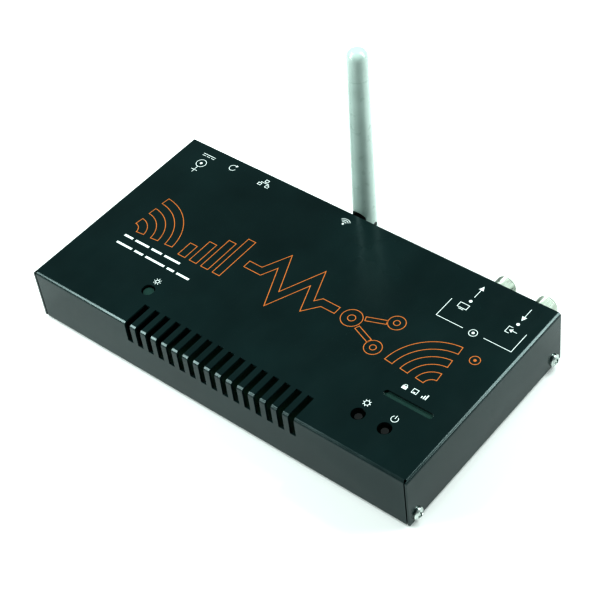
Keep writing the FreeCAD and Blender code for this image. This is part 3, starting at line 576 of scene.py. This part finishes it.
def socket_signs(mark):
    """Signs along the cover's rear edge, one in front of each socket."""
    label_y = BACK - 5.5
    power_x = middle("power_pin").x
    direct_current_sign(mark, power_x, label_y, 3.6)
    polarity_sign(mark, power_x, BACK - 11, 2.4, 4.2)
    turn_back_sign(mark, middle("reset_plunger").x, label_y, 1.7)
    network_sign(mark, middle("lan_shell").x, label_y, 2.1)
    radio_waves(mark, middle("antenna_nut").x + 2, label_y - 1.6, 3.2)


def coax_signs(mark):
    """Arrow out and arrow in before the coaxial barrels, with a bracket that joins them."""
    out_x, in_x = middle("coax_out_barrel").x, middle("coax_in_barrel").x
    bracket_low, bracket_high = BACK - 28.4, BACK - 17.4
    dot_y, dot_radius = BACK - 14.6, 0.75
    for x, start, end in ((out_x, BACK - 12, BACK - 4.7), (in_x + 2.6, BACK - 4.9, BACK - 12.3)):
        mark.fill(ring_points((x, dot_y), dot_radius))
        arrow(mark, x, start, end)
    screen_sign(mark, out_x - 1, BACK - 18.6, 2.0)
    line_in_sign(mark, in_x + 2.4, BACK - 18.9, 1.7)
    gap_middle, half_gap = (out_x + in_x) / 2 + 0.6, 5
    for inner, outer in ((gap_middle - half_gap, out_x - 7.3), (gap_middle + half_gap, in_x + 8.5)):
        mark.stroke([(outer, bracket_high), (outer, bracket_low), (inner, bracket_low)])
    coax_sign(mark, gap_middle, bracket_low, 1.8)


def control_signs(mark):
    """Signs behind the two buttons, the status light and the three lights in the window."""
    config, standby, status = middle("config_plunger"), middle("standby_plunger"), middle("status_guide")
    cog_sign(mark, config.x - 0.4, config.y + 6.2, 1.8)
    standby_sign(mark, standby.x + 0.5, standby.y + 5.8, 1.5)
    lamp_sign(mark, status.x, status.y + 5.8, 1.8)
    lights = middle("indicator_leds")
    light_pitch = 4.7
    for step, sign in ((-1, lock_sign), (0, plug_sign), (1, level_sign)):
        sign(mark, lights.x - 1.6 + step * light_pitch, lights.y + 6.6, 1.5)


def word_bars(mark):
    """Two rows of plain bars in place of the words."""
    first_row, row_pitch, bar_height, gap = -13, 5, 1.1, 1.6
    for row, lengths in enumerate(((5, 8, 6, 9), (9, 5, 11, 4, 7))):
        x, y = LEFT + 18, first_row - row * row_pitch
        for length in lengths:
            mark.stroke([(x, y), (x + length, y)], width=bar_height)
            x += length + gap


def white_marks():
    """Signs beside the sockets, buttons and lights, in place of lettering."""
    mark = Print("white_print", WHITE_INK, WHITE_LINE)
    socket_signs(mark)
    coax_signs(mark)
    control_signs(mark)
    word_bars(mark)
    mark.finish()


# Limits of the orange band's rows and the centres of its two wave signs, in millimetres.
BAND_LOW, BAND_HIGH = -9, 15
BAND_LEFT, BAND_RIGHT = LEFT + 17, RIGHT - 20
BAND_MIDDLE = (BAND_LOW + BAND_HIGH) / 2


def wave_arcs(mark, x, start, end):
    for radius in (6, 14, 22):
        mark.outline(arc_points((x, BAND_LOW), radius, start, end, 18))


def rising_bars(mark):
    first_x, pitch, bars = BAND_LEFT + 31, 6.6, 4
    for step in range(bars):
        x, share = first_x + step * pitch, 0.34 + 0.22 * step
        mark.outline([(x, BAND_LOW), (x, BAND_LOW + (BAND_HIGH - BAND_LOW) * share)])


def pulse(mark):
    """Flat line with two peaks and two dips."""
    turns = [(-25, 0), (-17, 0), (-12, 10), (-3, -10), (6, 10), (12, -5), (16, 0), (24, 0)]
    mark.outline([(x, BAND_MIDDLE + rise) for x, rise in turns])


def linked_nodes(mark):
    """Ring with two smaller rings linked to it."""
    hub_x, hub_radius, link_start, link_end, node_x = 31.5, 3.2, 36.5, 45, 48.5
    for y in (BAND_HIGH - 4, BAND_LOW + 4):
        near_y, far_y = (BAND_MIDDLE + (y - BAND_MIDDLE) * share for share in (0.35, 0.75))
        mark.outline([(link_start, near_y), (link_end, far_y)], width=2.2)
        mark.outline(ring_points((node_x, y), 2.6), True, 2.4)
    mark.outline(ring_points((hub_x, BAND_MIDDLE), hub_radius), True, 3)


def ringed_dot(mark, x, y):
    mark.stroke(ring_points((x, y), 2.2), True)
    mark.fill(ring_points((x, y), 0.7))


def orange_motif():
    """Band of outlined signal shapes along the cover: waves, rising bars, a pulse, linked nodes, waves."""
    mark = Print("orange_print", ORANGE_INK, ORANGE_LINE)
    wave_arcs(mark, BAND_LEFT, 4, 86)
    wave_arcs(mark, BAND_RIGHT, 94, 176)
    rising_bars(mark)
    pulse(mark)
    linked_nodes(mark)
    ringed_dot(mark, BAND_RIGHT + 6, BAND_HIGH - 3)
    mark.finish()


# ---------------------------------------------------------------- stage, lights and camera


def floor():
    """Plain pale floor under the feet."""
    size = 4.0
    mesh = bmesh.new()
    bmesh.ops.create_grid(mesh, x_segments=8, y_segments=8, size=size / 2)
    data = bpy.data.meshes.new("floor")
    mesh.to_mesh(data)
    mesh.free()
    ground = bpy.data.objects.new("floor", data)
    ground.location.z = cad_box[0].z
    bpy.context.collection.objects.link(ground)
    surface = Surface("floor", (0.88, 0.87, 0.86), 0.5, Specular_IOR_Level=0.3)
    surface.vary_roughness(surface.noise(3), 0.45, 0.55)
    data.materials.append(surface.material)


AZIMUTH = math.radians(45.09)
ELEVATION = math.radians(45.61)
ROLL = math.radians(-8.17)


def camera_turn():
    """The camera's rotation. Its third column points from the object to the camera."""
    turn = Matrix.Rotation(AZIMUTH, 4, "Z") @ Matrix.Rotation(math.pi / 2 - ELEVATION, 4, "X")
    return turn @ Matrix.Rotation(ROLL, 4, "Z")


STRIP_DISTANCE = 1.2
STRIP_WIDTH = 0.2
FOLD_TILTS = (math.radians(16), math.radians(52))


def strip_light(name, side, power):
    """Soft box that the camera sees mirrored in the cover's fold on that side, not in the flat top."""
    view = camera_turn().col[2].xyz
    ends = []
    for tilt in FOLD_TILTS:
        normal = Vector((side[0] * math.sin(tilt), side[1] * math.sin(tilt), math.cos(tilt)))
        ends.append((2 * normal.dot(view) * normal - view) * STRIP_DISTANCE)
    along = (ends[1] - ends[0]).normalized()
    centre = (ends[0] + ends[1]) / 2
    away = (centre - along * centre.dot(along)).normalized()
    data = bpy.data.lights.new(name, "AREA")
    data.shape = "RECTANGLE"
    data.size = (ends[1] - ends[0]).length
    data.size_y = STRIP_WIDTH
    data.energy = power
    data.color = (0.9, 1.0, 0.98)
    lamp = bpy.data.objects.new(name, data)
    turn = Matrix((along, away.cross(along), away)).transposed().to_4x4()
    lamp.matrix_world = Matrix.Translation(centre) @ turn
    bpy.context.collection.objects.link(lamp)


def studio():
    """Two strip lights, a weak even world light and the photo's hard contrast."""
    strip_light("front_strip", (0, -1), 13)
    strip_light("right_strip", (1, 0), 12)
    world = bpy.data.worlds.new("studio")
    world.use_nodes = True
    background = world.node_tree.nodes["Background"]
    background.inputs["Color"].default_value = (0.8, 0.9, 0.9, 1)
    background.inputs["Strength"].default_value = 0.25
    bpy.context.scene.world = world
    bpy.context.scene.view_settings.view_transform = "Standard"
    bpy.context.scene.view_settings.look = "High Contrast"


def camera():
    """Camera at the photograph's angle: it looks down over the front right corner, slightly rolled."""
    distance = 0.68138
    target = Vector((-4.0, 10.5, 10.0)) * MM
    turn = camera_turn()
    data = bpy.data.cameras.new("camera")
    data.lens = 95.66
    data.sensor_width = 36
    data.clip_start, data.clip_end = 0.05, 20
    view = bpy.data.objects.new("camera", data)
    view.matrix_world = Matrix.Translation(target + turn.col[2].xyz * distance) @ turn
    bpy.context.collection.objects.link(view)
    bpy.context.scene.camera = view


BUILT_HERE = ("coax_out_barrel", "coax_in_barrel", "rubber_feet")
for node in SLOT_OF:
    if node not in BUILT_HERE:
        rounded_copy(node, ROUNDINGS.get(node, COMMON_ROUNDING) * MM)
threaded_barrel("coax_out_barrel", "coax_out_insulator")
threaded_barrel("coax_in_barrel", "coax_in_insulator")
rubber_feet()
white_marks()
orange_motif()
floor()
studio()
camera()
